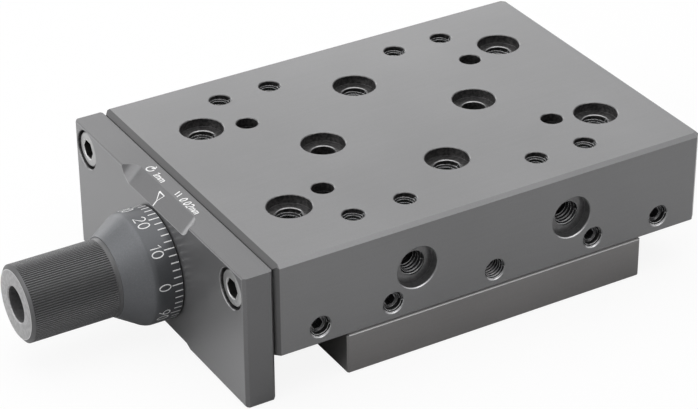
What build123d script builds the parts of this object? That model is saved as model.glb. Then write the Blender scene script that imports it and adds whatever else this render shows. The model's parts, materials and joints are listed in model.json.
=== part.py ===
from build123d import *
import os
from math import radians, sin, tan

# Dovetail slide: a graduated spindle moves a long carriage along a short base with a dovetail rail.
# Millimetres. +X points away from the knob, +Y to the back and +Z up. The origin is the centre of
# the base's underside. The carriage stands where the photograph shows it, off the base's centre.

# Overall form
slide_height = 33.0
carriage_length = 110.0
carriage_width = 80.0
carriage_height = 22.5
carriage_offset = -1.3
base_length = 77.0
base_side_step = 0.5
shoulder_gap = 0.5
corner_chamfer = 1.35
top_chamfer = 0.85
small_chamfer = 0.3
base_chamfer = 0.4
hole_chamfer = 0.2

# Dovetail ways, with the gib on the front side
way_depth = 9.5
shoulder_width = 14.5
flank_angle = 60.0
acute_edge_trim = 0.6
relief_radius = 0.6
way_clearance = 0.03
gib_thickness = 4.8
gib_gap = 0.3
gib_end_gap = 1.0
gib_edge_gap = 0.5
groove_side_gap = 1.5
groove_top_gap = 0.95

# Fits
fit_clearance = 0.01
running_clearance = 0.02
thread_clearance = 0.05
axial_play = 0.03

# Metric threads, which have the plain nominal size here
m4_diameter = 4.0
m5_diameter = 5.0
m6_diameter = 6.0
m4_clearance_hole = 4.5
m5_clearance_hole = 5.5
m4_head_diameter = 7.0
m5_head_diameter = 8.5
m5_head_gap = 0.35
m4_head_gap = 0.3
m4_socket = 3.0
m5_socket = 4.0
gib_screw_socket = 2.5
socket_depth = 2.4
tapped_run_out = 1.5

# Hole pattern of the carriage's top
counterbore_diameter = 10.0
counterbore_depth = 2.2
top_hole_floor = 2.3
grid_pitch = 40.0
grid_rows = 40.0
dowel_diameter = 5.0
dowel_pitch = 60.0
dowel_rows = 34.0
dowel_depth = 8.0
tapped_outer_pitch = 60.0
tapped_inner_pitch = 34.0
tapped_rows = 60.0
tapped_depth = 8.0

# Front face of the carriage
gib_hole_height = 4.2
gib_outer_pitch = 88.0
gib_inner_pitch = 52.0
front_hole_height = 11.2
front_hole_pitch = 40.0
front_hole_depth = 7.8
gib_screw_recess = 1.4
clamp_thread_depth = 9.0
clamp_pilot_diameter = 4.2
gib_dimple_depth = 0.9
gib_dimple_gap = 0.2
gib_tip_diameter = 2.5
gib_tip_length = 2.5

# End plate
plate_thickness = 7.2
plate_drop = 0.7
plate_floor_gap = 0.3
plate_corner_chamfer = 0.7
plate_screw_inset = 5.75
plate_screw_drop = 5.9
plate_screw_length = 16.0
plate_head_recess = 0.4
bevel_leg = 3.3
lower_bevel_leg = 1.0
bevel_flat = 24.0
bevel_end_radius = 4.6

# Spindle and its bearing
spindle_drop = 4.35
spindle_diameter = 8.0
spindle_overrun = 17.5
thread_relief_length = 2.5
thread_relief_depth = 0.7
collar_rim = 3.5
collar_thickness = 2.2
collar_sink = 0.37
pocket_gap = 0.5
washer_rim = 0.5
washer_thickness = 1.0
bush_wall = 1.5
bush_flange_rim = 2.0
bush_flange_thickness = 1.2

# Spindle nut, and the channel and pocket for it in the rail
nut_length = 20.0
nut_side_wall = 2.0
nut_inset = 6.0
nut_boss_wall = 2.0
nut_top_gap = 0.6
nut_side_gap = 0.05
nut_floor = 2.65
nut_corner_radius = 2.0
nut_screw_wall = 2.0
nut_screw_length = 12.0
nut_screw_recess = 0.4
channel_side_gap = 1.5
channel_floor_gap = 1.15
channel_corner_radius = 2.0

# Knob and graduated drum
drum_gap = 0.3
drum_diameter = 25.8
drum_band = 6.4
drum_cone_length = 6.0
drum_foot_step = 0.4
drum_blend_radius = 4.0
drum_edge_chamfer = 0.2
drum_recess_gap = 3.0
pin_recess_gap = 0.27
hub_wall = 3.0
knob_diameter = 17.6
neck_length = 0.6
neck_depth = 0.4
grip_length = 19.5
knob_bevel_length = 0.7
knob_bevel_depth = 0.95
knob_bore_gap = 0.6
knob_bore_depth = 19.1
knob_bore_chamfer = 0.25
knob_web = 3.0
knob_screw_length = 10.0
knob_washer_gap = 0.1
knob_washer_thickness = 0.8
drive_pin_diameter = 2.0
drive_pin_inset = 1.8
drive_pin_sink = 0.2

# Mounting holes in the underside of the base
base_bolt_pitch = 60.0
base_bolt_rows = 60.0
base_bolt_depth = 7.5
base_dowel_pitch = 60.0
base_dowel_rows = 34.0
base_dowel_depth = 6.0

# Levels and stations worked out from the sizes above
base_width = carriage_width - 2 * base_side_step
rail_width = base_width - 2 * shoulder_width
carriage_start = carriage_offset - carriage_length / 2
carriage_bottom = slide_height - carriage_height
shoulder_level = carriage_bottom - shoulder_gap
ceiling_level = carriage_bottom + way_depth
rail_top = ceiling_level - way_clearance
spindle_height = ceiling_level - spindle_drop
gib_level = carriage_bottom + gib_hole_height
gib_outer = way_clearance + gib_thickness
plate_face = carriage_start - plate_thickness
plate_top = slide_height - plate_drop
plate_screw_level = slide_height - plate_screw_drop
plate_screw_pitch = carriage_width - 2 * plate_screw_inset
collar_diameter = spindle_diameter + 2 * collar_rim
washer_diameter = collar_diameter + 2 * washer_rim
collar_pocket_diameter = washer_diameter + 2 * pocket_gap
collar_pocket_depth = washer_thickness + axial_play + collar_thickness + collar_sink
bush_diameter = spindle_diameter + 2 * bush_wall
bush_flange_diameter = bush_diameter + 2 * bush_flange_rim
hub_diameter = spindle_diameter + 2 * hub_wall
drum_recess_diameter = bush_flange_diameter + 2 * drum_recess_gap
drum_foot_diameter = knob_diameter + 2 * drum_foot_step
knob_bore_diameter = m4_head_diameter + 2 * knob_bore_gap
knob_washer_diameter = knob_bore_diameter - 2 * knob_washer_gap
plate_counterbore_diameter = m5_head_diameter + 2 * m5_head_gap
nut_screw_counterbore = m4_head_diameter + 2 * m4_head_gap
nut_screw_pitch = spindle_diameter + m4_diameter + 2 * nut_screw_wall
nut_width = nut_screw_pitch + m4_diameter + 2 * nut_side_wall
nut_boss_diameter = spindle_diameter + 2 * nut_boss_wall
groove_width = nut_boss_diameter + 2 * groove_side_gap
groove_depth = nut_boss_diameter / 2 - spindle_drop + groove_top_gap
channel_width = spindle_diameter + 2 * channel_side_gap
gib_dimple_diameter = gib_tip_diameter + 2 * gib_dimple_gap
pocket_floor = carriage_start - collar_pocket_depth
collar_start = pocket_floor + washer_thickness + axial_play
hub_face = plate_face - bush_flange_thickness - axial_play
drum_face = plate_face - drum_gap
drum_edge = drum_face - drum_band
drum_foot = drum_edge - drum_cone_length
neck_start = drum_foot - neck_length
grip_start = neck_start - neck_depth
grip_end = grip_start - grip_length
knob_end = grip_end - knob_bevel_length
bore_floor = knob_end + knob_bore_depth
journal_end = bore_floor + knob_web
pin_station = hub_face - drive_pin_inset
drum_recess_depth = drum_face - pin_station + drive_pin_diameter / 2 + pin_recess_gap
nut_centre = nut_inset + (nut_length - base_length) / 2
spindle_end = nut_centre + nut_length / 2 + spindle_overrun
nut_seat = spindle_height - spindle_diameter / 2 - nut_floor
nut_height = rail_top - nut_top_gap - nut_seat
nut_head_seat = m4_diameter + nut_screw_recess
nut_web = nut_seat - nut_head_seat
plate_head_seat = m5_diameter + plate_head_recess
plate_web = plate_thickness - plate_head_seat
collar_end = collar_start + collar_thickness
spindle_axis = Axis((0, 0, spindle_height), (1, 0, 0))
turning_plane = Plane(origin=(0, 0, spindle_height), x_dir=(1, 0, 0), z_dir=(0, -1, 0))
sitting = (Align.CENTER, Align.CENTER, Align.MIN)
hanging = (Align.CENTER, Align.CENTER, Align.MAX)


def flank(height, offset=0.0):
    """Half-width of the dovetail at a height, with its flank set outwards by a square offset."""
    run = (rail_top - height) / tan(radians(flank_angle))
    return rail_width / 2 - run + offset / sin(radians(flank_angle))


def facing_knob(station):
    """Plane across the spindle at a station, facing the knob."""
    return Plane(origin=(station, 0, spindle_height), x_dir=(0, -1, 0), z_dir=(-1, 0, 0))


def facing_carriage(station):
    """Plane across the spindle at a station, facing away from the knob."""
    return Plane(origin=(station, 0, spindle_height), x_dir=(0, 1, 0), z_dir=(1, 0, 0))


def front_plane(height):
    """Plane on the front face of the carriage at a height, facing outwards."""
    origin = (carriage_offset, -carriage_width / 2, height)
    return Plane(origin=origin, x_dir=(1, 0, 0), z_dir=(0, -1, 0))


def cap_screw(seat, thread, length, head, socket):
    """Socket head cap screw: its head stands on the seat plane and its shank runs below it."""
    with BuildPart(seat) as screw:
        Cylinder(head / 2, thread, align=sitting)
        Cylinder(thread / 2 - thread_clearance, length, align=hanging)
        with BuildSketch(seat.offset(thread)):
            RegularPolygon(socket / 2, 6, major_radius=False)
        extrude(amount=-socket_depth, mode=Mode.SUBTRACT)
    return screw.part


gib_floor_y = gib_dimple_depth - flank(gib_level, gib_outer)
gib_floor_plane = Plane(
    origin=(carriage_offset, gib_floor_y, gib_level), x_dir=(1, 0, 0), z_dir=(0, -1, 0)
)
gib_screw_length = carriage_width / 2 - gib_screw_recess + gib_floor_y

os.makedirs("parts", exist_ok=True)

# Base: a short body with the dovetail rail on top. The rail is open along the middle for the
# spindle and has a pocket for the nut.
with BuildPart() as base:
    Box(base_length, base_width, shoulder_level, align=sitting)
    chamfer(base.edges().filter_by(Axis.Z), base_chamfer)
    chamfer(base.faces().sort_by(Axis.Z)[-1].edges(), base_chamfer)
    chamfer(base.faces().sort_by(Axis.Z)[0].edges(), small_chamfer)
    with BuildSketch(Plane.YZ) as rail_profile:
        with BuildLine():
            Polyline(
                (-flank(shoulder_level), shoulder_level),
                (-rail_width / 2, rail_top),
                (rail_width / 2, rail_top),
                (flank(shoulder_level), shoulder_level),
                close=True,
            )
        make_face()
    extrude(amount=base_length / 2, both=True)
    chamfer(base.edges().filter_by(Axis.X).group_by(Axis.Z)[-1], acute_edge_trim)
    with BuildSketch(Plane.YZ) as rail_relief:
        with Locations((-flank(shoulder_level), shoulder_level), (flank(shoulder_level), shoulder_level)):
            Circle(relief_radius)
    extrude(amount=base_length, both=True, mode=Mode.SUBTRACT)
    channel_floor = spindle_height - spindle_diameter / 2 - channel_floor_gap
    with BuildSketch(Plane.YZ) as channel_profile:
        with Locations((0, channel_floor)):
            Rectangle(channel_width, way_depth + shoulder_gap, align=(Align.CENTER, Align.MIN))
        fillet(channel_profile.vertices().group_by(Axis.Y)[0], channel_corner_radius)
    extrude(amount=base_length, both=True, mode=Mode.SUBTRACT)
    with BuildSketch(Plane.XY.offset(rail_top)):
        with Locations((nut_centre, 0)):
            RectangleRounded(
                nut_length + 2 * nut_side_gap,
                nut_width + 2 * nut_side_gap,
                nut_corner_radius,
            )
    extrude(amount=nut_seat - rail_top, mode=Mode.SUBTRACT)
    with Locations(Plane(origin=(0, 0, 0), x_dir=(1, 0, 0), z_dir=(0, 0, -1))):
        with GridLocations(base_bolt_pitch, base_bolt_rows, 2, 2):
            Hole(m6_diameter / 2, base_bolt_depth)
        with GridLocations(base_dowel_pitch, base_dowel_rows, 2, 2):
            Hole(dowel_diameter / 2, base_dowel_depth)
        with Locations((nut_centre, nut_screw_pitch / 2), (nut_centre, -nut_screw_pitch / 2)):
            CounterBoreHole(m4_clearance_hole / 2, nut_screw_counterbore / 2, nut_head_seat, nut_seat)
base.part.label = "base"
export_step(base.part, "parts/base.step")

# Carriage: a block with the hole pattern on top, the dovetail ways below and a groove in their
# ceiling that clears the nut.
with BuildPart() as carriage:
    with Locations((carriage_offset, 0, carriage_bottom)):
        Box(carriage_length, carriage_width, carriage_height, align=sitting)
    chamfer(carriage.edges().filter_by(Axis.Z), corner_chamfer)
    chamfer(carriage.faces().sort_by(Axis.Z)[-1].edges().sort_by(Axis.X)[0], corner_chamfer)
    chamfer(carriage.faces().sort_by(Axis.Z)[-1].edges().sort_by(Axis.X)[1:], top_chamfer)
    chamfer(carriage.faces().sort_by(Axis.Z)[0].edges(), small_chamfer)
    gib_side = gib_outer + gib_gap
    with BuildSketch(Plane.YZ.offset(carriage_offset)) as way_profile:
        with BuildLine():
            Polyline(
                (-flank(shoulder_level, gib_side), shoulder_level),
                (-flank(ceiling_level, gib_side), ceiling_level),
                (flank(ceiling_level, way_clearance), ceiling_level),
                (flank(shoulder_level, way_clearance), shoulder_level),
                close=True,
            )
        make_face()
        with Locations(
            (-flank(ceiling_level, gib_side), ceiling_level),
            (flank(ceiling_level, way_clearance), ceiling_level),
        ):
            Circle(relief_radius)
        with Locations((0, ceiling_level)):
            Rectangle(groove_width, groove_depth, align=(Align.CENTER, Align.MIN))
    extrude(amount=carriage_length, both=True, mode=Mode.SUBTRACT)
    mouth_edges = carriage.edges().filter_by(Axis.X).group_by(Axis.Z)[0]
    chamfer(mouth_edges.sort_by(lambda edge: abs(edge.center().Y))[:2], acute_edge_trim)
    with Locations((carriage_offset, 0, slide_height)):
        tapped_end = carriage_height - way_depth - top_hole_floor
        with GridLocations(grid_pitch, grid_rows, 3, 2):
            CounterBoreHole(
                m6_diameter / 2, counterbore_diameter / 2, counterbore_depth, tapped_end
            )
        with GridLocations(grid_pitch, 0, 2, 1):
            CounterBoreHole(
                m5_clearance_hole / 2,
                counterbore_diameter / 2,
                counterbore_depth,
                carriage_height - way_depth,
            )
        with GridLocations(dowel_pitch, dowel_rows, 2, 2):
            Hole(dowel_diameter / 2, dowel_depth)
        with GridLocations(tapped_outer_pitch, tapped_rows, 2, 2):
            Hole(m5_diameter / 2, tapped_depth)
        with GridLocations(tapped_inner_pitch, tapped_rows, 2, 2):
            Hole(m5_diameter / 2, tapped_depth)
    top_rims = carriage.edges().filter_by(GeomType.CIRCLE)
    chamfer(top_rims.group_by(Axis.Z)[-1], hole_chamfer)
    floor_edges = carriage.edges().filter_by(GeomType.CIRCLE).filter_by_position(
        Axis.Z,
        slide_height - counterbore_depth - fit_clearance,
        slide_height - counterbore_depth + fit_clearance,
    )
    chamfer(floor_edges.filter_by(lambda edge: edge.radius < counterbore_diameter / 2), hole_chamfer)
    with Locations(front_plane(gib_level)):
        gib_hole_depth = carriage_width / 2 - flank(gib_level)
        with GridLocations(gib_outer_pitch, 0, 2, 1):
            Hole(m5_diameter / 2, gib_hole_depth)
        with GridLocations(gib_inner_pitch, 0, 2, 1):
            Hole(m5_diameter / 2, gib_hole_depth)
        Hole(m5_diameter / 2, clamp_thread_depth)
        Hole(clamp_pilot_diameter / 2, gib_hole_depth)
    with Locations(front_plane(carriage_bottom + front_hole_height)):
        with GridLocations(front_hole_pitch, 0, 2, 1):
            CounterBoreHole(
                m6_diameter / 2, counterbore_diameter / 2, counterbore_depth, front_hole_depth
            )
    chamfer(carriage.edges().filter_by(GeomType.CIRCLE).group_by(Axis.Y)[0], hole_chamfer)
    with Locations(facing_knob(carriage_start)):
        with Locations(
            (plate_screw_pitch / 2, plate_screw_level - spindle_height),
            (-plate_screw_pitch / 2, plate_screw_level - spindle_height),
        ):
            Hole(m5_diameter / 2, plate_screw_length + tapped_run_out - plate_web)
carriage.part.label = "carriage"
export_step(carriage.part, "parts/carriage.step")

# Gib: a slanted strip between the rail and the front flank of the way. Its dimples hold the tips
# of the four set screws.
gib_plane = Plane.YZ.offset(carriage_offset)
gib_bottom = carriage_bottom + gib_edge_gap
gib_top = ceiling_level - gib_edge_gap
with BuildPart() as gib_strip:
    with BuildSketch(gib_plane):
        with BuildLine():
            Polyline(
                (-flank(gib_bottom, way_clearance), gib_bottom),
                (-flank(gib_top, way_clearance), gib_top),
                (-flank(gib_top, gib_outer), gib_top),
                (-flank(gib_bottom, gib_outer), gib_bottom),
                close=True,
            )
        make_face()
    extrude(amount=carriage_length / 2 - gib_end_gap, both=True)
    chamfer(gib_strip.edges().filter_by(Axis.X), hole_chamfer)
    with Locations(gib_floor_plane):
        for pitch in (gib_outer_pitch, gib_inner_pitch):
            with GridLocations(pitch, 0, 2, 1):
                Cylinder(gib_dimple_diameter / 2, gib_thickness, align=sitting, mode=Mode.SUBTRACT)
gib_strip.part.label = "gib_strip"
export_step(gib_strip.part, "parts/gib_strip.step")

# Set screws that press the gib, recessed in the front face
gib_screw_places = (-gib_outer_pitch, -gib_inner_pitch, gib_inner_pitch, gib_outer_pitch)
for count, place in enumerate(gib_screw_places, start=1):
    tip_plane = gib_floor_plane.moved(Location((place / 2, 0, 0)))
    with BuildPart(tip_plane) as gib_screw:
        Cylinder(gib_tip_diameter / 2, gib_tip_length, align=sitting)
        with Locations((0, 0, gib_tip_length)):
            Cylinder(
                m5_diameter / 2 - thread_clearance,
                gib_screw_length - gib_tip_length,
                align=sitting,
            )
        with BuildSketch(tip_plane.offset(gib_screw_length)):
            RegularPolygon(gib_screw_socket / 2, 6, major_radius=False)
        extrude(amount=-socket_depth, mode=Mode.SUBTRACT)
    gib_screw.part.label = f"gib_screw_{count}"
    export_step(gib_screw.part, f"parts/gib_screw_{count}.step")

# End plate: carries the spindle's bearing, with bevels milled across the middle of its long edges.
with BuildPart() as end_plate:
    with Locations((plate_face, 0, plate_floor_gap)):
        Box(
            plate_thickness,
            carriage_width,
            plate_top - plate_floor_gap,
            align=(Align.MIN, Align.CENTER, Align.MIN),
        )
    chamfer(end_plate.edges().filter_by(Axis.Z), plate_corner_chamfer)
    chamfer(end_plate.faces().sort_by(Axis.X)[0].edges().filter_by(Axis.Y), small_chamfer)
    chamfer(end_plate.faces().sort_by(Axis.X)[-1].edges().filter_by(Axis.Y), small_chamfer)
    for level, upward, leg in ((plate_top, 1, bevel_leg), (plate_floor_gap, -1, lower_bevel_leg)):
        slope = Plane(origin=(plate_face, 0, level), x_dir=(0, upward, 0), z_dir=(1, 0, upward))
        with BuildSketch(slope) as bevel_profile:
            with Locations((0, -leg * sin(radians(45)))):
                Rectangle(
                    bevel_flat + 2 * bevel_end_radius,
                    bevel_end_radius + leg,
                    align=(Align.CENTER, Align.MIN),
                )
            fillet(bevel_profile.vertices().group_by(Axis.Y)[0], bevel_end_radius)
        extrude(amount=plate_thickness, both=True, mode=Mode.SUBTRACT)
    with Locations(facing_knob(plate_face)):
        with Locations(
            (plate_screw_pitch / 2, plate_screw_level - spindle_height),
            (-plate_screw_pitch / 2, plate_screw_level - spindle_height),
        ):
            CounterBoreHole(
                m5_clearance_hole / 2,
                plate_counterbore_diameter / 2,
                plate_head_seat,
                plate_thickness,
            )
    rims = end_plate.faces().sort_by(Axis.X)[0].edges().filter_by(lambda edge: edge.is_closed)
    chamfer(rims, hole_chamfer)
    with Locations(facing_carriage(carriage_start)):
        CounterBoreHole(
            bush_diameter / 2 + fit_clearance,
            collar_pocket_diameter / 2,
            collar_pocket_depth,
            plate_thickness,
        )
end_plate.part.label = "end_plate"
export_step(end_plate.part, "parts/end_plate.step")

# Cap screws that hold the end plate on the carriage
for side, y in (("front", -plate_screw_pitch / 2), ("back", plate_screw_pitch / 2)):
    seat = Plane(
        origin=(plate_face + plate_head_seat, y, plate_screw_level),
        x_dir=(0, -1, 0),
        z_dir=(-1, 0, 0),
    )
    plate_screw = cap_screw(seat, m5_diameter, plate_screw_length, m5_head_diameter, m5_socket)
    plate_screw.label = f"plate_screw_{side}"
    export_step(plate_screw, f"parts/plate_screw_{side}.step")

# Flanged plain bush that carries the journal in the end plate
with BuildPart(facing_knob(plate_face)) as bearing_bush:
    Cylinder(bush_flange_diameter / 2, bush_flange_thickness, align=sitting)
    Cylinder(bush_diameter / 2, plate_thickness - collar_pocket_depth, align=hanging)
    Hole(spindle_diameter / 2 + running_clearance)
bearing_bush.part.label = "bearing_bush"
export_step(bearing_bush.part, "parts/bearing_bush.step")

# Thrust washer between the floor of the plate's pocket and the spindle's collar
with BuildPart(facing_carriage(pocket_floor)) as thrust_washer:
    Cylinder(washer_diameter / 2, washer_thickness, align=sitting)
    Hole(spindle_diameter / 2 + way_clearance)
thrust_washer.part.label = "thrust_washer"
export_step(thrust_washer.part, "parts/thrust_washer.step")

# Spindle: journal, thrust collar and threaded shank in one turned piece, tapped at the knob end
journal_radius = spindle_diameter / 2
with BuildPart() as spindle:
    with BuildSketch(turning_plane):
        with BuildLine():
            Polyline(
                (journal_end, 0),
                (journal_end, journal_radius),
                (collar_start, journal_radius),
                (collar_start, collar_diameter / 2),
                (collar_end, collar_diameter / 2),
                (collar_end, journal_radius - thread_relief_depth),
                (collar_end + thread_relief_length, journal_radius - thread_relief_depth),
                (collar_end + thread_relief_length + thread_relief_depth, journal_radius),
                (spindle_end, journal_radius),
                (spindle_end, 0),
                close=True,
            )
        make_face()
    revolve(axis=spindle_axis)
    chamfer(spindle.edges().group_by(Axis.X)[-1], thread_relief_depth)
    chamfer(spindle.edges().group_by(Axis.X)[0], small_chamfer)
    chamfer(spindle.edges().filter_by(GeomType.CIRCLE).group_by(SortBy.RADIUS)[-1], hole_chamfer)
    with Locations(facing_knob(journal_end)):
        Hole(m4_diameter / 2, knob_screw_length + tapped_run_out - knob_web - knob_washer_thickness)
    with Locations((pin_station, 0, spindle_height)):
        Hole(drive_pin_diameter / 2)
spindle.part.label = "spindle"
export_step(spindle.part, "parts/spindle.step")

# Spindle nut: a bronze block in the rail's pocket with a round boss along the spindle
with BuildPart() as spindle_nut:
    with BuildSketch(Plane.XY.offset(nut_seat)):
        with Locations((nut_centre, 0)):
            RectangleRounded(nut_length, nut_width, nut_corner_radius)
    extrude(amount=nut_height)
    with BuildSketch(Plane.YZ.offset(nut_centre)):
        with Locations((0, spindle_height)):
            Circle(nut_boss_diameter / 2)
    extrude(amount=nut_length / 2, both=True)
    with Locations(facing_carriage(nut_centre)):
        Hole(journal_radius + thread_clearance)
    with Locations(Plane(origin=(nut_centre, 0, nut_seat), x_dir=(1, 0, 0), z_dir=(0, 0, -1))):
        with GridLocations(0, nut_screw_pitch, 1, 2):
            Hole(m4_diameter / 2, nut_screw_length + tapped_run_out - nut_web)
spindle_nut.part.label = "spindle_nut"
export_step(spindle_nut.part, "parts/spindle_nut.step")

# Cap screws that hold the nut from below
for count, y in enumerate((-nut_screw_pitch / 2, nut_screw_pitch / 2), start=1):
    seat = Plane(origin=(nut_centre, y, nut_head_seat), x_dir=(1, 0, 0), z_dir=(0, 0, -1))
    nut_screw = cap_screw(seat, m4_diameter, nut_screw_length, m4_head_diameter, m4_socket)
    nut_screw.label = f"nut_screw_{count}"
    export_step(nut_screw, f"parts/nut_screw_{count}.step")

# Knob: a turned grip with a hub for the drum, bored from both ends with a web between
with BuildPart() as knob:
    grip_radius = knob_diameter / 2
    with BuildSketch(turning_plane):
        with BuildLine():
            Polyline(
                (hub_face, 0),
                (hub_face, hub_diameter / 2),
                (drum_foot, hub_diameter / 2),
                (drum_foot, grip_radius - neck_depth),
                (neck_start, grip_radius - neck_depth),
                (grip_start, grip_radius),
                (grip_end, grip_radius),
                (knob_end, grip_radius - knob_bevel_depth),
                (knob_end, 0),
                close=True,
            )
        make_face()
    revolve(axis=spindle_axis)
    with Locations(facing_knob(knob_end)):
        CounterBoreHole(m4_clearance_hole / 2, knob_bore_diameter / 2, knob_bore_depth)
    with Locations(facing_carriage(hub_face)):
        Hole(journal_radius + fit_clearance, hub_face - journal_end)
    mouth = knob.faces().sort_by(Axis.X)[0].edges().group_by(SortBy.RADIUS)[0]
    chamfer(mouth, knob_bore_chamfer)
    with Locations((pin_station, 0, spindle_height)):
        Hole(drive_pin_diameter / 2)
knob.part.label = "knob"
export_step(knob.part, "parts/knob.step")

# Graduated drum: a band for the scale with a cone behind it, seated on the knob's hub
with BuildPart() as scale_drum:
    with BuildSketch(turning_plane) as drum_profile:
        with BuildLine():
            Polyline(
                (drum_face, 0),
                (drum_face, drum_diameter / 2),
                (drum_edge, drum_diameter / 2),
                (drum_foot, drum_foot_diameter / 2),
                (drum_foot, 0),
                close=True,
            )
        make_face()
        band_corners = drum_profile.vertices().group_by(Axis.Y)[-1].sort_by(Axis.X)
        fillet(band_corners[0], drum_blend_radius)
        chamfer(band_corners[1], drum_edge_chamfer)
    revolve(axis=spindle_axis)
    with Locations(facing_carriage(drum_face)):
        CounterBoreHole(
            hub_diameter / 2 + fit_clearance,
            drum_recess_diameter / 2,
            drum_recess_depth,
        )
scale_drum.part.label = "scale_drum"
export_step(scale_drum.part, "parts/scale_drum.step")

# Pin across the hub and the journal, which makes the knob turn the spindle
pin_length = hub_diameter - 2 * drive_pin_sink
with BuildPart() as drive_pin:
    with Locations((pin_station, 0, spindle_height)):
        Cylinder(drive_pin_diameter / 2 - fit_clearance, pin_length)
drive_pin.part.label = "drive_pin"
export_step(drive_pin.part, "parts/drive_pin.step")

# Washer and cap screw at the bottom of the knob's bore
with BuildPart(facing_knob(bore_floor)) as knob_washer:
    Cylinder(knob_washer_diameter / 2, knob_washer_thickness, align=sitting)
    Hole(m4_clearance_hole / 2)
knob_washer.part.label = "knob_washer"
export_step(knob_washer.part, "parts/knob_washer.step")

knob_screw_seat = facing_knob(bore_floor - knob_washer_thickness)
knob_screw = cap_screw(knob_screw_seat, m4_diameter, knob_screw_length, m4_head_diameter, m4_socket)
knob_screw.label = "knob_screw"
export_step(knob_screw, "parts/knob_screw.step")
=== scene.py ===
import json
from math import atan2, cos, hypot, pi, radians, sin

import bpy
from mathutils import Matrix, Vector

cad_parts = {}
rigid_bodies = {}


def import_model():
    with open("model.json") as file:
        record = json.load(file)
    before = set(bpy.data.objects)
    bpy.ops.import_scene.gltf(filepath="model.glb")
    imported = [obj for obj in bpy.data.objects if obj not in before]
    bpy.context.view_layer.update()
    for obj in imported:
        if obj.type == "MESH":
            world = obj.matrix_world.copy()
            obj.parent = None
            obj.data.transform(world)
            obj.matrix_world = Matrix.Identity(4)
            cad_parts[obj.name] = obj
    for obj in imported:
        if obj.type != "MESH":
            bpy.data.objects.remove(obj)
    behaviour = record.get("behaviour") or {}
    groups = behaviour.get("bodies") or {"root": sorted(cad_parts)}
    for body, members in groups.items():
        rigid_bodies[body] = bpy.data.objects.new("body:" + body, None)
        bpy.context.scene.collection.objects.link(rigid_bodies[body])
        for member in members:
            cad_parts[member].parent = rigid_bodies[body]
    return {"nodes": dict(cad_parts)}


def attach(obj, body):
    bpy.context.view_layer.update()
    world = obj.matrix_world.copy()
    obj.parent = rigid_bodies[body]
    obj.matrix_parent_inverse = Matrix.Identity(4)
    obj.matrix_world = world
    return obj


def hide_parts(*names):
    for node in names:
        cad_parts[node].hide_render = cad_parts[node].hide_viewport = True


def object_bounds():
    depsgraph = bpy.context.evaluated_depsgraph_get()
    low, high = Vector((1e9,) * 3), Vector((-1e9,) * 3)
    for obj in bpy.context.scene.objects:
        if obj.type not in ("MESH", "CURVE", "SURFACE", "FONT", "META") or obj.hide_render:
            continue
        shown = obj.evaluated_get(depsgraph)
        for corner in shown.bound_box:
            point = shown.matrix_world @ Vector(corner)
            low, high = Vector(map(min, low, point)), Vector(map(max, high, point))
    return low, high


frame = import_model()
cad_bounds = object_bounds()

# Base: the short lower body with the dovetail rail. Milled and ground aluminium, anodised to
# an even dark grey, with the finish rubbed thin on its edges, painted shade inside its bores and
# a painted highlight along its top chamfer.
mm = 0.001
base_grey = (0.21, 0.204, 0.203, 1.0)
rubbed_and_highlight_grey = (0.6, 0.6, 0.61, 1.0)
# bore_shade_grey and bore_shade_dark are painted shade: the walls inside bores and the joint are
# darkened with them.
bore_shade_grey = (0.1, 0.098, 0.098, 1.0)
bore_shade_dark = (0.045, 0.044, 0.045, 1.0)


class Signal:
    """A socket of a finish. Signals add, subtract and multiply as numbers do."""

    def __init__(self, tree, socket=None):
        self.tree = tree
        self.socket = socket

    def node(self, kind, settings, sockets, output=0):
        """Add a node with its settings and the values or signals of its sockets."""
        made = self.tree.nodes.new(kind)
        for setting, value in settings.items():
            setattr(made, setting, value)
        for name, value in sockets.items():
            if isinstance(value, Signal):
                self.tree.links.new(value.socket, made.inputs[name])
            else:
                made.inputs[name].default_value = value
        return Signal(self.tree, made.outputs[output] if made.outputs else None)

    def maths(self, operation, first, second):
        """Work out a signal from two signals or numbers."""
        return self.node("ShaderNodeMath", {"operation": operation}, {0: first, 1: second})

    def __add__(self, other):
        return self.maths("ADD", self, other)

    def __radd__(self, other):
        return self.maths("ADD", other, self)

    def __sub__(self, other):
        return self.maths("SUBTRACT", self, other)

    def __rsub__(self, other):
        return self.maths("SUBTRACT", other, self)

    def __mul__(self, other):
        return self.maths("MULTIPLY", self, other)

    def __rmul__(self, other):
        return self.maths("MULTIPLY", other, self)

    def larger(self, other):
        """The larger of two signals."""
        return self.maths("MAXIMUM", self, other)

    def part(self, axis):
        """The part of a place or a direction that lies along an axis."""
        return self.node("ShaderNodeSeparateXYZ", {}, {0: self}, axis)


def start_finish(name):
    """A new material and the place on the piece, from which its pattern is worked out."""
    material = bpy.data.materials.new(name)
    material.use_nodes = True
    material.node_tree.nodes.clear()
    place = Signal(material.node_tree).node("ShaderNodeTexCoord", {}, {}, "Object")
    return material, place


def speckle(place, scale, detail, squash=(1, 1, 1)):
    """Soft noise from 0 to 1, with scale grains to a metre, drawn out along an axis by squash."""
    stretched = place.node("ShaderNodeMapping", {}, {"Vector": place, "Scale": squash})
    return place.node(
        "ShaderNodeTexNoise", {}, {"Vector": stretched, "Scale": scale, "Detail": detail}
    )


def spread(value, low, high, start=0.0, end=1.0):
    """The value between low and high, laid out between start and end and held there."""
    return value.node(
        "ShaderNodeMapRange",
        {"interpolation_type": "SMOOTHSTEP"},
        {"Value": value, "From Min": low, "From Max": high, "To Min": start, "To Max": end},
    )


def between(value, low, high, start=0.0, end=1.0):
    """As spread, for a value in metres, with low and high in millimetres."""
    return spread(value, low * mm, high * mm, start, end)


def band_at(value, level, half_width):
    """1 where a value in metres is within half_width of a level in millimetres, else 0."""
    blur = 0.03
    inner, outer = half_width - blur, half_width + blur
    rising = between(value, level - outer, level - inner)
    return rising * between(value, level + inner, level + outer, 1.0, 0.0)


def blend_colour(factor, first, second):
    """From the first colour to the second."""
    return factor.node("ShaderNodeMix", {"data_type": "RGBA"}, {0: factor, 6: first, 7: second}, 2)


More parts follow.
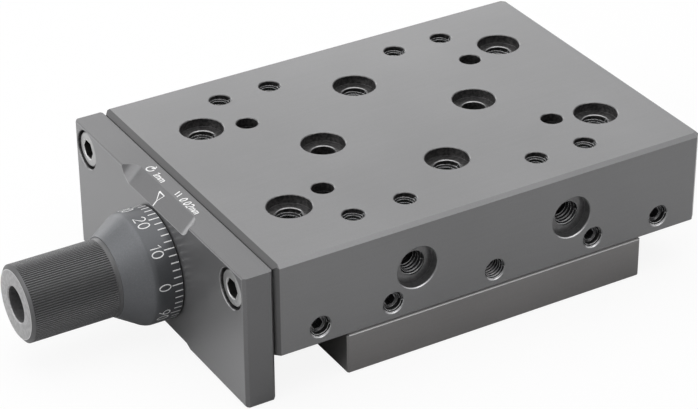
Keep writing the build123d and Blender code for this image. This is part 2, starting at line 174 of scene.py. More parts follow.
def shade(colour, share):
    """A colour with its brightness multiplied by a share."""
    return [share * part for part in colour[:3]] + [1.0]


def facing(place):
    """The direction in which the surface faces."""
    return place.node("ShaderNodeNewGeometry", {}, {}, "Normal")


def edge_wear_and_highlight(place, reach):
    """1 along the sharp edges and 0 on the faces: edges that handling rubs bright, and edges that
    get a painted highlight.
    """
    rounded = place.node("ShaderNodeBevel", {"samples": 6}, {"Radius": reach * mm})
    pair = {0: rounded, 1: facing(place)}
    likeness = place.node("ShaderNodeVectorMath", {"operation": "DOT_PRODUCT"}, pair, "Value")
    return spread(1 - likeness, 0.02, 0.2)


def box_inside(place, lowest, highest, skin, cut):
    """1 on walls inside a box of millimetres, such as bores, else 0.

    The faces of the box are left out down to skin, and its edges down to a chamfer of cut."""
    middle = (Vector(lowest) + Vector(highest)) / 2 * mm
    half = (Vector(highest) - Vector(lowest)) / 2 * mm
    centred = place.node("ShaderNodeMapping", {}, {"Vector": place, "Location": -middle})
    away = place.node("ShaderNodeVectorMath", {"operation": "ABSOLUTE"}, {0: centred})
    depth = place.node("ShaderNodeVectorMath", {"operation": "SUBTRACT"}, {0: half, 1: away})
    across = [depth.part(axis) for axis in "XYZ"]
    least = place.maths("MINIMUM", across[0], place.maths("MINIMUM", across[1], across[2]))
    most = across[0].larger(across[1].larger(across[2]))
    corner = across[0] + across[1] + across[2] - most
    return between(least, skin, skin + 0.1) * between(corner, cut, cut + 0.2)


def surface(material, place, colour, metal, rough, grain, lift, mirror=0.5):
    """Give a finish its colour, its gloss and a grain that is lifted by millimetres."""
    relief = place.node("ShaderNodeBump", {}, {"Height": grain, "Distance": lift * mm})
    gloss = {"Metallic": metal, "Roughness": rough, "Specular IOR Level": mirror}
    shader = place.node(
        "ShaderNodeBsdfPrincipled", {}, {"Base Color": colour, "Normal": relief} | gloss
    )
    shader.node("ShaderNodeOutputMaterial", {}, {"Surface": shader})
    return material


def ground_finish(
    name, colour, bores, grain, wear, cut, line=None, joint=None, face=None, rims=None
):
    """Ground and anodised metal: fine grinding lines, faint clouds, rubbed edges, painted shade in
    bores.

    Bores lie in boxes of millimetres, each with the skin left out and how dark its painted shade is;
    edges inside them get a painted highlight. At the level of the line an edge gets a painted
    highlight. A chamfer at the joint gets painted shade, and the face is painted lighter as a
    painted sheen. The rims are a level at which a thin ring in the bores is made brighter, and a
    front face at which the bores have a painted highlight on their up-facing lip."""
    material, place = start_finish(name)
    along, sideways, height = [place.part(axis) for axis in "XYZ"]
    lines = speckle(place, 1500, 2, grain)
    clouds = speckle(place, 22, 3)
    specks = speckle(place, 2600, 2)
    tone = 0.55 * clouds + 0.15 * lines + 0.3 * specks
    body = blend_colour(spread(tone, 0.35, 0.65), shade(colour, 0.95), shade(colour, 1.05))
    if face:
        # Painted sheen: the whole face is painted lighter.
        body = blend_colour(between(along, face + 0.12, face + 0.04), body, shade(colour, 1.57))
    inner = 0 * clouds
    for bore in bores:
        inside = box_inside(place, bore["lowest"], bore["highest"], bore["skin"], cut)
        inner = inner.larger(bore["dark"] * inside)
    scoring = spread(speckle(place, 1500, 4), 0.38, 0.62)
    # Painted shade: the walls inside the bores are darkened.
    bore_shaded = blend_colour(inner, body, blend_colour(scoring, bore_shade_dark, bore_shade_grey))
    patches = spread(speckle(place, 160, 4), 0.35, 0.65, 0.3, 1.0)
    # The rubbed edges are wear on the faces; inside the bores they are painted brighter as a painted
    # highlight.
    edges = edge_wear_and_highlight(place, 0.16) * patches * (wear + (0.75 - wear) * inner)
    if line:
        # Painted highlight: a thin bright line at the level of the line.
        edges = edges.larger(band_at(height, line, 0.055))
    if rims:
        level, front = rims
        edges = edges.larger(0.45 * inner * band_at(height, level, 0.07))
        # Painted highlight: the up-facing lip of the front bores is made bright.
        lip = spread(facing(place).part("Z"), 0.35, 0.7) * band_at(sideways, front + 0.15, 0.15)
        edges = edges.larger(lip * between(height, level + 0.5, level))
    wear_and_painted_light = blend_colour(edges, bore_shaded, rubbed_and_highlight_grey)
    if joint:
        # Painted shade: the chamfer at the joint is darkened towards the joint.
        joint_shade = between(along, joint + 1.4, joint + 1.3, 0.0, 0.7)
        joint_shade = joint_shade + between(along, joint + 0.4, joint + 0.2, 0.0, 0.3)
        wear_and_painted_light = blend_colour(joint_shade, wear_and_painted_light, bore_shade_dark)
    roughness = 0.25 + 0.05 * clouds + 0.04 * specks - 0.04 * edges
    relief = 0.3 * lines + 0.7 * specks
    return surface(material, place, wear_and_painted_light, metal=0.6, rough=roughness, grain=relief, lift=0.0015)


def carry(node, material):
    """Give a CAD piece its finish."""
    frame["nodes"][node].data.materials.clear()
    frame["nodes"][node].data.materials.append(material)


ground_lengthwise = (0.05, 1, 1)
# Painted shade: everything inside the base's box, such as its bores and channel, is darkened.
base_bores = [dict(lowest=(-38.5, -39.5, 0), highest=(38.5, 39.5, 10), skin=0.08, dark=1.0)]
# The level of a painted highlight along the base's top chamfer.
base_highlight_level = 9.6
base_finish = ground_finish(
    "base_anodised", base_grey, base_bores, ground_lengthwise, wear=0.2, cut=0.6, line=base_highlight_level
)
carry("base", base_finish)

# Carriage: the long top block that runs on the rail, with the hole pattern for what is
# mounted on it. The same aluminium, ground on its top along the travel, drilled and tapped.
carriage_grey = (0.187, 0.187, 0.19, 1.0)
lowest_corner, highest_corner = ([round(part / mm, 2) for part in corner] for corner in cad_bounds)
front_face = lowest_corner[1]
far_end, back_face, carriage_top = highest_corner
carriage_length = 110
plate_joint = far_end - carriage_length
rim_level = 30.7
carriage_foot = 10.5
# Boxes of painted shade: the walls inside the top and front bores are darkened.
top_bores = dict(
    lowest=(plate_joint, front_face + 4, carriage_foot),
    highest=(far_end, back_face, carriage_top),
    skin=0.06,
    dark=1.0,
)
front_bores = dict(
    lowest=(plate_joint, front_face, carriage_foot),
    highest=(far_end, front_face + 10, carriage_top - 2.5),
    skin=0.35,
    dark=0.5,
)
carriage_finish = ground_finish(
    "carriage_anodised",
    carriage_grey,
    [top_bores, front_bores],
    ground_lengthwise,
    wear=0.12,
    cut=1.5,
    joint=plate_joint,
    rims=(rim_level, front_face),
)
carry("carriage", carriage_finish)

# Threads in the tapped holes: M6 in the counterbored holes of the top and the front and in the
# underside of the base, M5 in the rows along the top, the clamping hole and the gib holes. Cut
# with a tap, with painted shade between the turns and a painted highlight on the crests, most so
# on the up-facing flanks low in front.
# thread_shade_dark is painted shade between the turns, and thread_highlight_bright is a painted
# highlight on the crests.
thread_shade_dark = (0.014, 0.014, 0.015, 1.0)
thread_highlight_bright = (0.95, 0.95, 0.96, 1.0)
thread_finish, place = start_finish("thread_cut")
in_front = between(place.part("Y"), front_face + 7.2, front_face + 6.6)
# Painted highlight: the up-facing flanks low in front are made bright.
lit_lower_flanks = in_front * spread(facing(place).part("Z"), 0.2, 0.5)
crest_highlights = edge_wear_and_highlight(place, 0.15).larger(lit_lower_flanks * edge_wear_and_highlight(place, 0.34))
crest_highlights = crest_highlights * spread(speckle(place, 400, 3), 0.3, 0.6, 0.6, 1.0)
thread_colour = blend_colour(crest_highlights, thread_shade_dark, thread_highlight_bright)
scoring = speckle(place, 2400, 3)
surface(
    thread_finish,
    place,
    thread_colour,
    metal=0.3,
    rough=0.3 + 0.15 * scoring,
    grain=scoring,
    lift=0.004,
    mirror=0.1,
)


def pick(piece):
    """Select a piece and nothing else."""
    bpy.ops.object.select_all(action="DESELECT")
    piece.select_set(True)
    bpy.context.view_layer.objects.active = piece


def settle(piece, name, spot, turn, finish, body):
    """Put a piece in its place for good, give it its finish and let it ride on its body."""
    pick(piece)
    piece.name = name
    piece.location = Vector(spot) * mm
    piece.rotation_euler = turn
    bpy.ops.object.transform_apply(location=True, rotation=True, scale=True)
    piece.data.materials.clear()
    piece.data.materials.append(finish)
    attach(piece, body)


def copies(piece, names, spots, turn, finish, body):
    """Set a copy of a modelled piece, with its own mesh, at each spot."""
    for name, spot in zip(names, spots):
        pick(piece)
        bpy.ops.object.duplicate(linked=False)
        settle(bpy.context.object, name, spot, turn, finish, body)


def close_shell(largest_hole):
    """Merge doubles, fill holes, turn the faces outwards and leave edit mode."""
    bpy.ops.mesh.select_all(action="SELECT")
    bpy.ops.mesh.remove_doubles(threshold=0.001 * mm)
    bpy.ops.mesh.fill_holes(sides=largest_hole)
    bpy.ops.mesh.select_all(action="SELECT")
    bpy.ops.mesh.normals_make_consistent(inside=False)
    bpy.ops.object.mode_set(mode="OBJECT")


def cut_thread(name, root, crest, pitch, length, facets=28):
    """The ridge of a thread from the level 0 down: a triangle, turned and lowered as a screw."""
    size = pitch / 2
    lean = pi / 2 if crest > root else -pi / 2
    bpy.ops.object.select_all(action="DESELECT")
    bpy.ops.mesh.primitive_circle_add(vertices=3, radius=size * mm, rotation=(pi / 2, lean, 0))
    ridge = bpy.context.object
    ridge.name = name
    bpy.ops.object.transform_apply(location=False, rotation=True, scale=False)
    bpy.ops.object.mode_set(mode="EDIT")
    bpy.ops.mesh.select_all(action="SELECT")
    reach = abs(crest - root) / (1.5 * size)
    bpy.ops.transform.resize(value=(reach, 1, 1), center_override=(0, 0, 0))
    bpy.ops.transform.translate(value=((2 * root + crest) / 3 * mm, 0, -size * mm))
    bpy.ops.object.mode_set(mode="OBJECT")
    screw = ridge.modifiers.new("helix", "SCREW")
    screw.axis = "Z"
    screw.angle = -2 * pi
    screw.screw_offset = -pitch * mm
    screw.iterations = int((length - pitch) / pitch)
    screw.steps = facets
    screw.render_steps = facets
    bpy.ops.object.modifier_apply(modifier="helix")
    bpy.ops.object.mode_set(mode="EDIT")
    close_shell(largest_hole=4)
    bpy.ops.object.shade_smooth_by_angle(angle=radians(35))
    return ridge


def tap(holes, ridge, spots, turn, body):
    """Thread holes that lie at the spots, each with its own copy of a ridge."""
    names = [f"{holes}_{count}" for count in range(1, len(spots) + 1)]
    copies(ridge, names, spots, turn, thread_finish, body)


m6 = {"root": 3.02, "crest": 2.46, "pitch": 1.0}
m5 = {"root": 2.52, "crest": 2.07, "pitch": 0.8}
unturned = (0, 0, 0)
from_front = (pi / 2, 0, 0)
from_below = (pi, 0, 0)
hole_centre = far_end - carriage_length / 2
m6_sunk, m5_sunk, base_sunk, clamp_sunk, gib_sunk = 2.4, 0.5, 0.2, 0.15, 0.05
m6_row, gib_row = 21.7, 14.7
m6_ridge = cut_thread("m6_ridge", **m6, length=8.2)
top_m6 = [
    (hole_centre + x, y, carriage_top - m6_sunk) for x in (-40, 0, 40) for y in (-20, 20)
]
tap("thread_top_m6", m6_ridge, top_m6, unturned, "carriage")
bpy.data.objects.remove(m6_ridge)
m6_short = cut_thread("m6_short", **m6, length=5.4)
front_m6 = [(hole_centre + x, front_face + m6_sunk, m6_row) for x in (-20, 20)]
tap("thread_front_m6", m6_short, front_m6, from_front, "carriage")
base_m6 = [(x, y, base_sunk) for x in (-30, 30) for y in (-30, 30)]
tap("thread_base_m6", m6_short, base_m6, from_below, "base")
bpy.data.objects.remove(m6_short)
m5_ridge = cut_thread("m5_ridge", **m5, length=7.8)
top_m5 = [
    (hole_centre + x, y, carriage_top - m5_sunk) for x in (-30, -17, 17, 30) for y in (-30, 30)
]
tap("thread_top_m5", m5_ridge, top_m5, unturned, "carriage")
copies(
    m5_ridge,
    ["thread_clamp_m5"],
    [(hole_centre, front_face + clamp_sunk, gib_row)],
    from_front,
    thread_finish,
    "carriage",
)
bpy.data.objects.remove(m5_ridge)
gib_stations = [hole_centre + x for x in (-44, -26, 26, 44)]
m5_mouth = cut_thread("m5_mouth", **m5, length=1.65)
gib_m5 = [(x, front_face + gib_sunk, gib_row) for x in gib_stations]
tap("thread_gib_m5", m5_mouth, gib_m5, from_front, "carriage")
bpy.data.objects.remove(m5_mouth)

# Bronze pieces: the slanted gib strip between the rail and the carriage, the spindle's nut in
# the base, and the bearing bush and thrust washer at the end plate. Milled or turned.
bronze, place = start_finish("bronze_turned")
rings = speckle(place, 1300, 3, (1, 0.3, 0.3))
patina = spread(speckle(place, 120, 4), 0.35, 0.7)
bronze_tone = blend_colour(patina, (0.46, 0.27, 0.1, 1.0), (0.33, 0.2, 0.09, 1.0))
surface(bronze, place, bronze_tone, metal=0.9, rough=0.3 + 0.16 * rings, grain=rings, lift=0.004)
for node in ("gib_strip", "spindle_nut", "bearing_bush", "thrust_washer"):
    carry(node, bronze)

# Gib screws: four M5 set screws of blackened steel that press on the gib strip. Each is sunk
# in a tapped hole of the front face and has a broached hexagon socket.
dark_steel, place = start_finish("screw_blackened")
grains = speckle(place, 1900, 3)
blackened = blend_colour(
    edge_wear_and_highlight(place, 0.15), (0.09, 0.09, 0.092, 1.0), (0.55, 0.55, 0.56, 1.0)
)
surface(
    dark_steel, place, blackened, metal=0.75, rough=0.28 + 0.18 * grains, grain=grains, lift=0.004
)


def turn_on_lathe(name, stations, facets, solid=True):
    """Draw a ring along X through stations of place and radius, and close its ends or itself."""
    bpy.ops.object.select_all(action="DESELECT")
    spot, radius = stations[0]
    bpy.ops.mesh.primitive_circle_add(
        vertices=facets, radius=radius * mm, location=(spot * mm, 0, 0), rotation=(0, pi / 2, 0)
    )
    piece = bpy.context.object
    piece.name = name
    bpy.ops.object.transform_apply(location=True, rotation=True, scale=True)
    bpy.ops.object.mode_set(mode="EDIT")
    bpy.ops.mesh.select_all(action="SELECT")
    onward = stations[1:] if solid else stations[1:] + stations[:1]
    for next_spot, next_radius in onward:
        step = (next_spot - spot) * mm
        bpy.ops.mesh.extrude_region_move(TRANSFORM_OT_translate={"value": (step, 0, 0)})
        swell = next_radius / radius
        bpy.ops.transform.resize(value=(1, swell, swell), center_override=(next_spot * mm, 0, 0))
        spot, radius = next_spot, next_radius
    close_shell(largest_hole=0)
    return piece


def socket_screw(name, stations, across_flats, socket_depth):
    """Turn a screw whose head looks along -X from the level 0, and broach its hexagon."""
    screw = turn_on_lathe(name, stations, facets=64)
    corner = across_flats / 2 / cos(pi / 6)
    bpy.ops.object.select_all(action="DESELECT")
    bpy.ops.mesh.primitive_cylinder_add(
        vertices=6, radius=corner * mm, depth=2 * socket_depth * mm, rotation=(0, pi / 2, 0)
    )
    broach = bpy.context.object
    hexagon = screw.modifiers.new("hexagon", "BOOLEAN")
    hexagon.operation = "DIFFERENCE"
    hexagon.solver = "EXACT"
    hexagon.object = broach
    pick(screw)
    bpy.ops.object.modifier_apply(modifier="hexagon")
    bpy.data.objects.remove(broach)
    bpy.ops.object.shade_smooth_by_angle(angle=radians(30))
    return screw


gib_screw_sunk = 1.4
gib_screw_stations = [
    (0.35, 1.5),
    (0.0, 1.75),
    (0.0, 2.1),
    (0.35, 2.45),
    (9.4, 2.45),
    (9.4, 1.25),
    (11.9, 1.25),
    (11.97, 1.15),
]
gib_screw = socket_screw("gib_screw", gib_screw_stations, across_flats=2.5, socket_depth=2.4)
copies(
    gib_screw,
    [f"gib_screw_turned_{count}" for count in range(1, 5)],
    [(x, front_face + gib_screw_sunk, gib_row) for x in gib_stations],
    (0, 0, pi / 2),
    dark_steel,
    "carriage",
)
bpy.data.objects.remove(gib_screw)
for count in range(1, 5):
    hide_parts(f"gib_screw_{count}")

# End plate: screwed to the carriage, it carries the spindle. Anodised aluminium, with milled
# bevels in the middle of its long edges. Its outer face is painted lighter as a painted sheen,
# and its counterbores and the drum's recess get painted shade.
plate_grey = (0.14, 0.14, 0.143, 1.0)
plate_thickness = 7.2
plate_face = plate_joint - plate_thickness
screw_side, screw_row = 34.25, 27.1
spindle_axis = 15.65
screw_bore, drum_recess = 4.95, 10.9
# Boxes of painted shade: the counterbores and the drum's recess are darkened.
plate_bores = [
    dict(
        lowest=(plate_face, side - reach, level - reach),
        highest=(plate_joint + 0.3, side + reach, level + reach),
        skin=0.08,
        dark=1.0,
    )
    for side, level, reach in (
        (screw_side, screw_row, screw_bore),
        (-screw_side, screw_row, screw_bore),
        (0, spindle_axis, drum_recess),
    )
]
ground_crosswise = (1, 0.05, 1)
plate_finish = ground_finish(
    "plate_anodised",
    plate_grey,
    plate_bores,
    ground_crosswise,
    wear=0.25,
    cut=0.1,
    face=plate_face,
)
carry("end_plate", plate_finish)

# Plate screws: two bright M5 cap screws of steel, turned on the head, with a hexagon socket.
# They sit in the end plate's counterbores and are screwed into the carriage.
head_face = plate_face + 0.4
socket_reach = 2.9
# Painted shade in the hexagon sockets.
socket_shade_dark = (0.07, 0.07, 0.068, 1.0)
bright_steel, place = start_finish("screw_bright")
grains = speckle(place, 1500, 3)
rings = speckle(place, 900, 2, (1, 0.4, 0.4))
# Painted highlight on the edges of the heads.
head_tone = blend_colour(
    edge_wear_and_highlight(place, 0.25), (0.42, 0.42, 0.42, 1.0), (0.66, 0.66, 0.65, 1.0)
)
for side in (-screw_side, screw_side):
    lowest = (head_face, side - socket_reach, screw_row - socket_reach)
    highest = (head_face + 3.1, side + socket_reach, screw_row + socket_reach)
    in_socket = box_inside(place, lowest, highest, skin=0.1, cut=0)
    head_tone = blend_colour(in_socket, head_tone, socket_shade_dark)
surface(
    bright_steel, place, head_tone, metal=0.85, rough=0.3 + 0.16 * grains, grain=rings, lift=0.004
)
plate_screw_stations = [
    (0.1, 2.33),
    (0.0, 2.45),
    (0.0, 3.6),
    (0.12, 3.95),
    (0.45, 4.2),
    (0.9, 4.25),
    (5.0, 4.25),
    (5.0, 2.45),
    (20.6, 2.45),
    (21.0, 2.0),
]
plate_screw = socket_screw("plate_screw", plate_screw_stations, across_flats=4.0, socket_depth=2.4)
copies(
    plate_screw,
    ["plate_screw_turned_front", "plate_screw_turned_back"],
    [(head_face, -screw_side, screw_row), (head_face, screw_side, screw_row)],
    unturned,
    bright_steel,
    "carriage",
)
bpy.data.objects.remove(plate_screw)
for side in ("front", "back"):
    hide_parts(f"plate_screw_{side}")

# Small screws: M4 cap screws that hold the nut and the knob, with the knob's washer. Steel,
# turned, with rolled threads that stay out of sight.
small_head_stations = [
    (0.15, 1.78),
    (0.0, 2.0),
    (0.0, 3.0),
    (0.1, 3.25),
    (0.4, 3.47),
    (4.0, 3.5),
    (4.0, 1.95),
]
nut_screw_stations = small_head_stations + [(15.6, 1.95), (16.0, 1.5)]
nut_screw = socket_screw("nut_screw", nut_screw_stations, across_flats=3.0, socket_depth=2.4)
nut_centre, nut_screw_side, nut_screw_sunk = -22.5, 8, 0.4
copies(
    nut_screw,
    ["nut_screw_turned_1", "nut_screw_turned_2"],
    [(nut_centre, side, nut_screw_sunk) for side in (-nut_screw_side, nut_screw_side)],
    (0, -pi / 2, 0),
    bright_steel,
    "base",
)
bpy.data.objects.remove(nut_screw)
for count in (1, 2):
    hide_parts(f"nut_screw_{count}")
knob_screw_stations = small_head_stations + [(13.6, 1.95), (14.0, 1.5)]
knob_screw = socket_screw(
    "knob_screw_turned", knob_screw_stations, across_flats=3.0, socket_depth=2.4
)
knob_screw_face = -83.1
settle(
    knob_screw,
    "knob_screw_turned",
    (knob_screw_face, 0, spindle_axis),
    unturned,
    dark_steel,
    "spindle",
)
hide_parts("knob_screw")
carry("knob_washer", dark_steel)

# Spindle: the lead screw of 1 mm pitch with its thrust collar and the journal for the knob,
# turned in one piece, and the cross pin that drives the knob. Ground steel.
spindle_steel, place = start_finish("spindle_ground")
rings = speckle(place, 1800, 3, (1, 0.1, 0.1))
spindle_tone = blend_colour(rings, (0.42, 0.42, 0.43, 1.0), (0.6, 0.6, 0.61, 1.0))
surface(
    spindle_steel, place, spindle_tone, metal=0.9, rough=0.24 + 0.14 * rings, grain=rings, lift=0.003
)
carry("drive_pin", spindle_steel)
journal_end = -75.3
spindle_stations = [
    (-65.0, 1.9),
    (journal_end, 1.9),
    (journal_end, 3.8),
    (-75.1, 4.0),
    (-58.87, 4.0),
    (-58.87, 7.3),
    (-58.67, 7.5),
    (-56.87, 7.5),
    (-56.67, 7.3),
    (-56.67, 3.3),
    (-54.17, 3.3),
    (-54.05, 3.43),
    (4.4, 3.43),
    (5.0, 3.1),
]
spindle_core = turn_on_lathe("spindle_turned", spindle_stations, facets=96)
bpy.ops.object.shade_smooth_by_angle(angle=radians(30))
on_axis = (0, 0, spindle_axis)
settle(
    spindle_core,
    "spindle_turned",
    on_axis,
    unturned,
    spindle_steel,
    "spindle",
)
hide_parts("spindle")
spindle_ridge = cut_thread(
    "spindle_thread", root=3.42, crest=3.97, pitch=1.0, length=58.6, facets=24
)
thread_start = -53.9
settle(
    spindle_ridge,
    "spindle_thread",
    (thread_start, 0, spindle_axis),
    (0, -pi / 2, 0),
    spindle_steel,
    "spindle",
)

# Graduated drum: turned aluminium with a band for the scale and a cone behind it, finely
# blasted and anodised dark, seated on the knob's hub.
drum_anodised, place = start_finish("drum_anodised")
blast = speckle(place, 3200, 2)
clouds = speckle(place, 60, 3)
drum_tone = blend_colour(
    spread(0.5 * blast + 0.5 * clouds, 0.3, 0.7),
    (0.09, 0.093, 0.099, 1.0),
    (0.118, 0.122, 0.13, 1.0),
)
cone_end, band_start = -70.5, -69.9
# Painted shade: the scale band is darkened.
band_shade = between(place.part("X"), cone_end, band_start, 0.0, 0.55)
drum_tone = blend_colour(band_shade, drum_tone, (0.05, 0.052, 0.056, 1.0))
drum_tone = blend_colour(0.35 * edge_wear_and_highlight(place, 0.2), drum_tone, (0.4, 0.41, 0.43, 1.0))
surface(
    drum_anodised, place, drum_tone, metal=0.5, rough=0.38 + 0.1 * blast, grain=blast, lift=0.004
)
carry("scale_drum", drum_anodised)

# Knob: turned aluminium with a straight knurl and a deep bore, pinned to the spindle's
# journal. Anodised darker than the drum, and left bare on its end and in its bore.
knob_face = -97.39
grip_start, grip_end = -77.2, -96.65
grip_radius, bore_radius = 8.8, 4.1
knob_anodised, place = start_finish("knob_anodised")
blast = speckle(place, 2800, 2)
knob_body = blend_colour(blast, (0.042, 0.042, 0.044, 1.0), (0.058, 0.058, 0.061, 1.0))
to_axis = {"Vector": place, "Location": (0, 0, -spindle_axis * mm), "Scale": (0, 1, 1)}
around = place.node("ShaderNodeMapping", {}, to_axis)
radius = around.node("ShaderNodeVectorMath", {"operation": "LENGTH"}, {0: around}, "Value")
along = place.part("X")
on_grip = between(along, grip_start + 0.1, grip_start)
on_grip = on_grip * between(along, grip_end - 0.05, grip_end + 0.15)
# Painted highlight on the crests of the knurl.
crest_highlights = 0.6 * on_grip * edge_wear_and_highlight(place, 0.1)
knob_tone = blend_colour(crest_highlights, knob_body, (0.42, 0.425, 0.435, 1.0))
# Painted shade in the grooves of the knurl.
groove_shade = on_grip * between(radius, grip_radius - 0.01, grip_radius - 0.12)
knob_tone = blend_colour(groove_shade, knob_tone, (0.014, 0.014, 0.015, 1.0))
mottled = spread(speckle(place, 1400, 4), 0.36, 0.64)
bare_tone = blend_colour(mottled, (0.27, 0.268, 0.272, 1.0), (0.37, 0.368, 0.372, 1.0))
on_end = between(along, knob_face + 0.05, knob_face + 0.01)
in_bore = between(radius, bore_radius + 0.4, bore_radius + 0.3)
in_bore = in_bore * between(along, knob_face + 0.39, knob_face + 0.24, 0.4, 1.0)
knob_tone = blend_colour(on_end.larger(in_bore), knob_tone, bare_tone)
knob_tone = blend_colour(0.8 * on_end * band_at(radius, 7.82, 0.1), knob_tone, rubbed_and_highlight_grey)
surface(
    knob_anodised,
    place,
    knob_tone,
    metal=0.25,
    rough=0.36 + 0.12 * blast,
    grain=blast,
    lift=0.004,
    mirror=0.8,
)

knurl_teeth = 100
knurl_depth = 0.2
bore_floor = -78.3
knob_stations = [
    (-64.73, 4.01),
    (-64.73, 6.85),
    (-64.88, 7.0),
    (-76.2, 7.0),
    (-76.2, 8.95),
    (-76.45, 8.74),
    (-76.8, 8.63),
    (-77.12, 8.63),
    (-77.22, grip_radius),
    (-96.62, grip_radius),
    (-96.7, grip_radius),
    (-97.35, 7.92),
    (knob_face, 7.8),
    (knob_face, 4.35),
    (-97.15, bore_radius),
    (bore_floor, bore_radius),
    (bore_floor, 2.25),
    (journal_end, 2.25),
    (journal_end, 4.01),
]
knob = turn_on_lathe("knob_turned", knob_stations, facets=knurl_teeth * 4, solid=False)
bpy.ops.object.mode_set(mode="EDIT")
bpy.ops.mesh.select_mode(type="VERT")
bpy.ops.mesh.select_all(action="DESELECT")
bpy.ops.object.mode_set(mode="OBJECT")
for vertex in knob.data.vertices:
    quarter = round(atan2(vertex.co.z, vertex.co.y) / (2 * pi) * knurl_teeth * 4) % 4
    gripped = grip_end < vertex.co.x / mm < grip_start
    outside = hypot(vertex.co.y, vertex.co.z) > (grip_radius - 0.3) * mm
    vertex.select = gripped and outside and quarter > 1
bpy.ops.object.mode_set(mode="EDIT")
deep = 1 - knurl_depth / grip_radius
bpy.ops.transform.resize(value=(1, deep, deep), center_override=(0, 0, 0))
bpy.ops.object.mode_set(mode="OBJECT")
bpy.ops.object.shade_smooth_by_angle(angle=radians(28))
settle(knob, "knob_turned", on_axis, unturned, knob_anodised, "spindle")
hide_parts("knob")

# Scale on the drum and marks on the end plate: the numbers of the scale, its pointer and the
# legend of its divisions. Engraved single strokes filled with white.
engraving, place = start_finish("engraving_white")
scuffs = speckle(place, 900, 3)
fill_tone = blend_colour(scuffs, (0.94, 0.94, 0.94, 1.0), (1.0, 1.0, 1.0, 1.0))
surface(engraving, place, fill_tone, metal=0.0, rough=0.6, grain=scuffs, lift=0.003)


def arc(x, y, wide, high, start, end, count=9):
    """Points along an ellipse between two angles in degrees."""
    angles = [radians(start + (end - start) * step / count) for step in range(count + 1)]
    return [(x + wide * cos(angle), y + high * sin(angle)) for angle in angles]


strokes = {
    "0": [arc(0.3, 0.5, 0.28, 0.5, 90, 450, 16)],
    "1": [[(0.12, 0.8), (0.36, 1.0), (0.36, 0.0)]],
    "2": [arc(0.3, 0.71, 0.28, 0.29, 165, -35) + [(0.02, 0.0), (0.6, 0.0)]],
    "3": [arc(0.28, 0.75, 0.25, 0.25, 150, -90), arc(0.28, 0.26, 0.3, 0.26, 85, -150)],
    "4": [[(0.44, 0.0), (0.44, 1.0), (0.0, 0.3), (0.62, 0.3)]],
    "5": [[(0.56, 1.0), (0.12, 1.0), (0.06, 0.55)] + arc(0.28, 0.33, 0.3, 0.33, 120, -145)],
    "6": [[(0.48, 1.0), (0.08, 0.52)] + arc(0.3, 0.3, 0.28, 0.3, 150, 510, 14)],
    "7": [[(0.0, 1.0), (0.6, 1.0), (0.2, 0.0)]],
    "8": [arc(0.3, 0.75, 0.23, 0.25, 270, 630, 12), arc(0.3, 0.26, 0.29, 0.26, 90, 450, 14)],
    "9": [[(0.12, 0.0), (0.52, 0.48)] + arc(0.3, 0.7, 0.28, 0.3, -30, 330, 14)],
    "m": [
        [(0.0, 0.0), (0.0, 0.66)],
        arc(0.19, 0.42, 0.19, 0.22, 180, 0, 6) + [(0.38, 0.0)],
        arc(0.57, 0.42, 0.19, 0.22, 180, 0, 6) + [(0.76, 0.0)],
    ],
    ".": [[(0.06, 0.0), (0.06, 0.06)]],
}
advance = {"m": 1.02, ".": 0.34, "1": 0.62}
digit_advance = 0.86


def lettering(text, start, foot, height, width):
    """The strokes of a text from its start along a line, with its feet on that line."""
    lines = []
    for letter in text:
        for stroke in strokes[letter]:
            lines.append([(start + x * width, foot + y * height) for x, y in stroke])
        start += advance.get(letter, digit_advance) * width
    return lines


def scribe(name, lines, line_width):
    """Lay thin flat ribbons along the lines on a level sheet at the origin."""
    curve = bpy.data.curves.new(name, "CURVE")
    curve.dimensions = "3D"
    for points in lines:
        spline = curve.splines.new("POLY")
        spline.points.add(len(points) - 1)
        for point, (x, y) in zip(spline.points, points):
            point.co = (x * mm, y * mm, 0, 1)
    curve.bevel_depth = line_width / 2 * mm
    curve.bevel_resolution = 1
    curve.use_fill_caps = True
    marks = bpy.data.objects.new(name, curve)
    bpy.context.scene.collection.objects.link(marks)
    pick(marks)
    bpy.ops.object.convert(target="MESH")
    bpy.ops.object.mode_set(mode="EDIT")
    bpy.ops.mesh.select_all(action="SELECT")
    flatness = 0.16
    bpy.ops.transform.resize(value=(1, 1, flatness), center_override=(0, 0, 0))
    bpy.ops.object.mode_set(mode="OBJECT")
    return marks


band_radius = 12.9
division = 2 * pi * band_radius / 50
zero_turn = radians(83.6)
line_start, short_line_end, long_line_end = -63.88, -65.75, -66.35
number_foot = -69.35
digit_pitch, digit_gap = 1.95, 0.36
scale_lines = []
for count in range(50):
    turn = zero_turn * band_radius - count * division
    line_end = long_line_end if count % 5 == 0 else short_line_end
    scale_lines.append([(line_start, turn), (line_end, turn)])
    if count % 5 == 0:
        number = str(count * 2)
        start = turn - (digit_pitch * len(number) - digit_gap) / 2
        for line in lettering(number, start, number_foot, height=2.65, width=2.5):
            scale_lines.append([(foot, run) for run, foot in line])
drum_scale = scribe("drum_scale", scale_lines, line_width=0.27)
for vertex in drum_scale.data.vertices:
    turn = vertex.co.y / (band_radius * mm)
    reach = band_radius * mm + vertex.co.z
    vertex.co = (vertex.co.x, -reach * sin(turn), reach * cos(turn))
settle(drum_scale, "drum_scale", on_axis, unturned, engraving, "spindle")

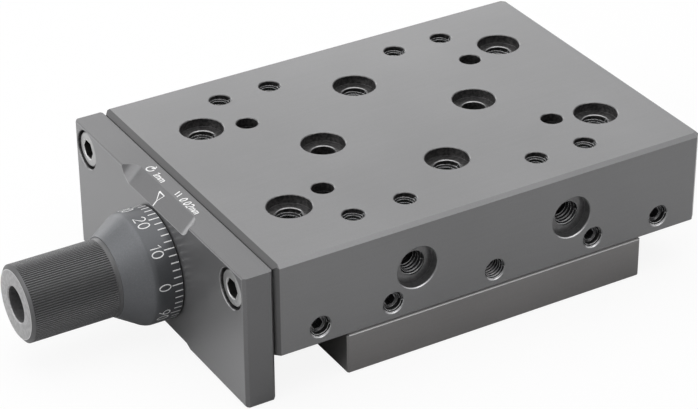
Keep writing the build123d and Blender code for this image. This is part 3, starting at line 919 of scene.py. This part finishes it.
plate_top = 32.3
legend = lettering("1mm", start=-8.5, foot=-0.1, height=1.8, width=1.72)
legend += lettering("0.02mm", start=4.4, foot=-0.1, height=1.8, width=1.5)
legend += [[(2.1, 0.1), (1.3, 1.7)], [(3.1, 0.1), (2.3, 1.7)]]
turn_symbol = arc(-10.75, 0.75, 0.95, 0.95, 60, 390, 18)
turn_arrow = [(-10.9, 2.35), (-10.2, 1.6), (-10.9, 1.15)]
legend_marks = scribe("plate_legend", legend + [turn_symbol, turn_arrow], line_width=0.34)
settle(
    legend_marks,
    "plate_legend",
    (plate_joint - 3.35, 0, plate_top),
    (0, 0, -pi / 2),
    engraving,
    "carriage",
)
pointer_tip = (-1.15, -3.2)
pointer_head = [(-2.3, -1.2), (0.0, -1.2), pointer_tip, (-2.3, -1.2)]
pointer_stem = [pointer_tip, (-1.15, -4.5)]
pointer_marks = scribe("plate_pointer", [pointer_head, pointer_stem], line_width=0.4)
settle(
    pointer_marks,
    "plate_pointer",
    (plate_joint - 3.9, 0, plate_top),
    (pi / 4, 0, -pi / 2),
    engraving,
    "carriage",
)

# Floor: a plain white sheet under the slide, twelve metres wide. The lens sees it nearly white
# with a faint shadow, and it lights the slide from below as a mid grey.
floor_finish, place = start_finish("floor_white")


def rays(place):
    """Two signals: 1 to the lens alone, and 1 to the lens, in gloss and through glass."""
    seen, mirrored, passed = [
        place.node("ShaderNodeLightPath", {}, {}, f"Is {kind} Ray")
        for kind in ("Camera", "Glossy", "Transmission")
    ]
    return seen, seen.larger(mirrored.larger(passed))


seen, shown = rays(place)
sheet_tone = blend_colour(shown, (0.5, 0.5, 0.5, 1.0), (0.95, 0.95, 0.95, 1.0))
sheet = place.node("ShaderNodeBsdfDiffuse", {}, {"Color": sheet_tone})
glow = place.node("ShaderNodeEmission", {}, {"Color": (1, 1, 1, 1), "Strength": 1.0})
mixed = place.node("ShaderNodeMixShader", {}, {0: 0.9 * seen, 1: sheet, 2: glow})
mixed.node("ShaderNodeOutputMaterial", {}, {"Surface": mixed})
bpy.ops.object.select_all(action="DESELECT")
sheet_width = 12
bpy.ops.mesh.primitive_grid_add(x_subdivisions=8, y_subdivisions=8, size=sheet_width)
floor = bpy.context.object
floor.name = "floor"
floor.data.materials.append(floor_finish)

# Light: soft panels above, low behind, at the knob's side and high in front, in a white room
# that lights next to nothing by itself and shows only to the lens, in gloss and through glass.
room = bpy.data.worlds.new("room")
bpy.context.scene.world = room
room.use_nodes = True
room.node_tree.nodes.clear()
shown = rays(Signal(room.node_tree))[1]
room_tone = blend_colour(shown, (0.02, 0.02, 0.02, 1.0), (1.0, 1.0, 1.0, 1.0))
sky = shown.node("ShaderNodeBackground", {}, {"Color": room_tone, "Strength": 1.0})
sky.node("ShaderNodeOutputWorld", {}, {"Surface": sky})


def hang_panel(name, spot, width, height, power):
    """A soft light panel at a spot, turned to face the slide."""
    turn = (-Vector(spot)).to_track_quat("-Z", "Y").to_euler()
    bpy.ops.object.light_add(type="AREA", location=spot, rotation=turn)
    panel = bpy.context.object
    panel.name = name
    panel.data.shape = "RECTANGLE"
    panel.data.size = width
    panel.data.size_y = height
    panel.data.energy = power


hang_panel("panel_above", (0.1, 0.2, 1.6), width=2.6, height=2.6, power=33.5)
hang_panel("panel_behind", (0.2, 1.5, 0.35), width=2.2, height=0.7, power=10.0)
hang_panel("panel_knob_side", (-1.4, 0.2, 0.6), width=1.8, height=1.1, power=13.0)
hang_panel("panel_front", (0.3, -0.8, 1.0), width=1.0, height=1.0, power=1.5)

# Camera: a long lens high on the knob's side, at the viewing angle of the photograph, without
# shift or depth of field.
camera_spot = (-0.271266, -0.43698, 0.315322)
camera_turn = (59.3507, 0.383, -30.6434)
bpy.ops.object.camera_add(
    location=camera_spot, rotation=[radians(angle) for angle in camera_turn]
)
camera = bpy.context.object
camera.data.sensor_width = 36
camera.data.sensor_fit = "HORIZONTAL"
camera.data.lens = 133.542
camera.data.clip_start = 0.01
bpy.context.scene.camera = camera
bpy.context.scene.view_settings.view_transform = "Standard"
